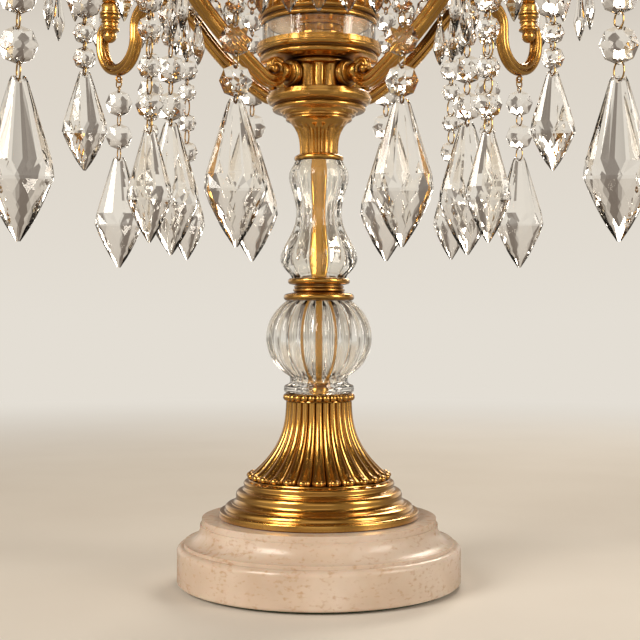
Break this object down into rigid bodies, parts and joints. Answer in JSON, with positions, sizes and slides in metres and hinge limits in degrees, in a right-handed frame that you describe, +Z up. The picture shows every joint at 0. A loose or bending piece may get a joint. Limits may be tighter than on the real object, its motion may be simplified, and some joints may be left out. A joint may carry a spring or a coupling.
{
  "type": "crystal table lamp",
  "caption": "Table lamp with a round marble base, fluted brass and glass stem, scroll arms with candle lights and swinging cut-crystal strands.",
  "frame": {"origin": "centre of the felt's underside, on the stem axis", "axes": "+Z up along the stem, -Y towards the front, arms on the diagonals of X and Y"},
  "size_m": [0.3718, 0.3718, 0.5684],
  "materials": {
    "polished_brass": "polished, warm gold lacquer",
    "pressed_glass": "clear, pressed with ribs",
    "cut_crystal": "clear lead glass, cut and polished",
    "marble": "polished cream marble with tan specks",
    "felt": "green wool felt",
    "steel": "zinc-plated steel",
    "candle_sleeve": "ivory candle sleeve",
    "socket_ceramic": "unglazed porcelain",
    "bulb_glass": "clear glass, slightly warm"
  },
  "bodies": {
    "lamp": {"felt_pad": "felt", "marble_base": "marble", "cord_bushing": "polished_brass", "base_flange_nut": "steel", "threaded_rod": "steel", "foot_plate": "polished_brass", "fluted_foot": "polished_brass", "bead_ring": "polished_brass", "melon_glass": "pressed_glass", "double_collar": "polished_brass", "vase_glass": "pressed_glass", "rod_sleeve": "polished_brass", "neck_ring": "polished_brass", "trumpet_capital": "polished_brass", "saucer_disc": "polished_brass", "arm_hub": "polished_brass", "arm_screws": "steel", "hub_bosses": "polished_brass", "arm_eyes": "polished_brass", "gallery_base_ring": "polished_brass", "gallery_glass": "pressed_glass", "gallery_core": "polished_brass", "gallery_top_ring": "polished_brass", "canopy_drum": "polished_brass", "canopy": "polished_brass", "upper_glass": "pressed_glass", "upper_collar": "polished_brass", "arm_1": "polished_brass", "arm_2": "polished_brass", "arm_3": "polished_brass", "arm_4": "polished_brass", "candle_cups": "polished_brass", "lamp_sockets": "socket_ceramic", "candle_sleeves": "candle_sleeve", "drip_dishes": "pressed_glass", "dish_drops": "cut_crystal", "canopy_drops": "cut_crystal"},
    "bulb_1": {"bulb_1": "bulb_glass"},
    "bulb_2": {"bulb_2": "bulb_glass"},
    "bulb_3": {"bulb_3": "bulb_glass"},
    "bulb_4": {"bulb_4": "bulb_glass"},
    "bulb_5": {"bulb_5": "bulb_glass"},
    "canopy_strand_1": {"canopy_strand_1": "cut_crystal"},
    "canopy_strand_2": {"canopy_strand_2": "cut_crystal"},
    "canopy_strand_3": {"canopy_strand_3": "cut_crystal"},
    "canopy_strand_4": {"canopy_strand_4": "cut_crystal"},
    "canopy_strand_5": {"canopy_strand_5": "cut_crystal"},
    "canopy_strand_6": {"canopy_strand_6": "cut_crystal"},
    "inner_strand_1": {"inner_strand_1": "cut_crystal"},
    "inner_strand_2": {"inner_strand_2": "cut_crystal"},
    "inner_strand_3": {"inner_strand_3": "cut_crystal"},
    "inner_strand_4": {"inner_strand_4": "cut_crystal"},
    "crest_strand_1": {"crest_strand_1": "cut_crystal"},
    "crest_strand_2": {"crest_strand_2": "cut_crystal"},
    "crest_strand_3": {"crest_strand_3": "cut_crystal"},
    "crest_strand_4": {"crest_strand_4": "cut_crystal"},
    "outer_strand_1": {"outer_strand_1": "cut_crystal"},
    "outer_strand_2": {"outer_strand_2": "cut_crystal"},
    "outer_strand_3": {"outer_strand_3": "cut_crystal"},
    "outer_strand_4": {"outer_strand_4": "cut_crystal"}
  },
  "joints": [
    {"name": "bulb_1_screw", "type": "hinge", "parent": "lamp", "child": "bulb_1", "pos_m": [-0.14354, -0.14354, 0.44197], "axis": [0, 0, 1], "range_deg": [-720, 0]},
    {"name": "bulb_2_screw", "type": "hinge", "parent": "lamp", "child": "bulb_2", "pos_m": [0.14354, -0.14354, 0.44197], "axis": [0, 0, 1], "range_deg": [-720, 0]},
    {"name": "bulb_3_screw", "type": "hinge", "parent": "lamp", "child": "bulb_3", "pos_m": [0.14354, 0.14354, 0.44197], "axis": [0, 0, 1], "range_deg": [-720, 0]},
    {"name": "bulb_4_screw", "type": "hinge", "parent": "lamp", "child": "bulb_4", "pos_m": [-0.14354, 0.14354, 0.44197], "axis": [0, 0, 1], "range_deg": [-720, 0]},
    {"name": "bulb_5_screw", "type": "hinge", "parent": "lamp", "child": "bulb_5", "pos_m": [0, 0, 0.5004], "axis": [0, 0, 1], "range_deg": [-720, 0]},
    {"name": "canopy_strand_1_swing", "type": "hinge", "parent": "lamp", "child": "canopy_strand_1", "pos_m": [0.042, 0.07275, 0.3488], "axis": [-0.866, 0.5, 0], "range_deg": [-6, 10]},
    {"name": "canopy_strand_2_swing", "type": "hinge", "parent": "lamp", "child": "canopy_strand_2", "pos_m": [-0.042, 0.07275, 0.3488], "axis": [-0.866, -0.5, 0], "range_deg": [-6, 10]},
    {"name": "canopy_strand_3_swing", "type": "hinge", "parent": "lamp", "child": "canopy_strand_3", "pos_m": [-0.084, 0, 0.3488], "axis": [0, -1, 0], "range_deg": [-6, 10]},
    {"name": "canopy_strand_4_swing", "type": "hinge", "parent": "lamp", "child": "canopy_strand_4", "pos_m": [-0.042, -0.07275, 0.3488], "axis": [0.866, -0.5, 0], "range_deg": [-6, 10]},
    {"name": "canopy_strand_5_swing", "type": "hinge", "parent": "lamp", "child": "canopy_strand_5", "pos_m": [0.042, -0.07275, 0.3488], "axis": [0.866, 0.5, 0], "range_deg": [-6, 10]},
    {"name": "canopy_strand_6_swing", "type": "hinge", "parent": "lamp", "child": "canopy_strand_6", "pos_m": [0.084, 0, 0.3488], "axis": [0, 1, 0], "range_deg": [-6, 10]},
    {"name": "inner_strand_1_swing", "type": "hinge", "parent": "lamp", "child": "inner_strand_1", "pos_m": [-0.08413, -0.08413, 0.33537], "axis": [-0.7071, -0.7071, 0], "range_deg": [-15, 3]},
    {"name": "inner_strand_2_swing", "type": "hinge", "parent": "lamp", "child": "inner_strand_2", "pos_m": [0.08413, -0.08413, 0.33537], "axis": [0.7071, -0.7071, 0], "range_deg": [-3, 15]},
    {"name": "inner_strand_3_swing", "type": "hinge", "parent": "lamp", "child": "inner_strand_3", "pos_m": [0.08413, 0.08413, 0.33537], "axis": [0.7071, 0.7071, 0], "range_deg": [-15, 3]},
    {"name": "inner_strand_4_swing", "type": "hinge", "parent": "lamp", "child": "inner_strand_4", "pos_m": [-0.08413, 0.08413, 0.33537], "axis": [-0.7071, 0.7071, 0], "range_deg": [-3, 15]},
    {"name": "crest_strand_1_swing", "type": "hinge", "parent": "lamp", "child": "crest_strand_1", "pos_m": [-0.11101, -0.11101, 0.34896], "axis": [-0.7071, -0.7071, 0], "range_deg": [-15, 15]},
    {"name": "crest_strand_2_swing", "type": "hinge", "parent": "lamp", "child": "crest_strand_2", "pos_m": [0.11101, -0.11101, 0.34896], "axis": [0.7071, -0.7071, 0], "range_deg": [-15, 15]},
    {"name": "crest_strand_3_swing", "type": "hinge", "parent": "lamp", "child": "crest_strand_3", "pos_m": [0.11101, 0.11101, 0.34896], "axis": [0.7071, 0.7071, 0], "range_deg": [-15, 15]},
    {"name": "crest_strand_4_swing", "type": "hinge", "parent": "lamp", "child": "crest_strand_4", "pos_m": [-0.11101, 0.11101, 0.34896], "axis": [-0.7071, 0.7071, 0], "range_deg": [-15, 15]},
    {"name": "outer_strand_1_swing", "type": "hinge", "parent": "lamp", "child": "outer_strand_1", "pos_m": [-0.13612, -0.13612, 0.31167], "axis": [-0.7071, -0.7071, 0], "range_deg": [-20, 20]},
    {"name": "outer_strand_2_swing", "type": "hinge", "parent": "lamp", "child": "outer_strand_2", "pos_m": [0.13612, -0.13612, 0.31167], "axis": [0.7071, -0.7071, 0], "range_deg": [-20, 20]},
    {"name": "outer_strand_3_swing", "type": "hinge", "parent": "lamp", "child": "outer_strand_3", "pos_m": [0.13612, 0.13612, 0.31167], "axis": [0.7071, 0.7071, 0], "range_deg": [-20, 20]},
    {"name": "outer_strand_4_swing", "type": "hinge", "parent": "lamp", "child": "outer_strand_4", "pos_m": [-0.13612, 0.13612, 0.31167], "axis": [-0.7071, 0.7071, 0], "range_deg": [-20, 20]}
  ]
}
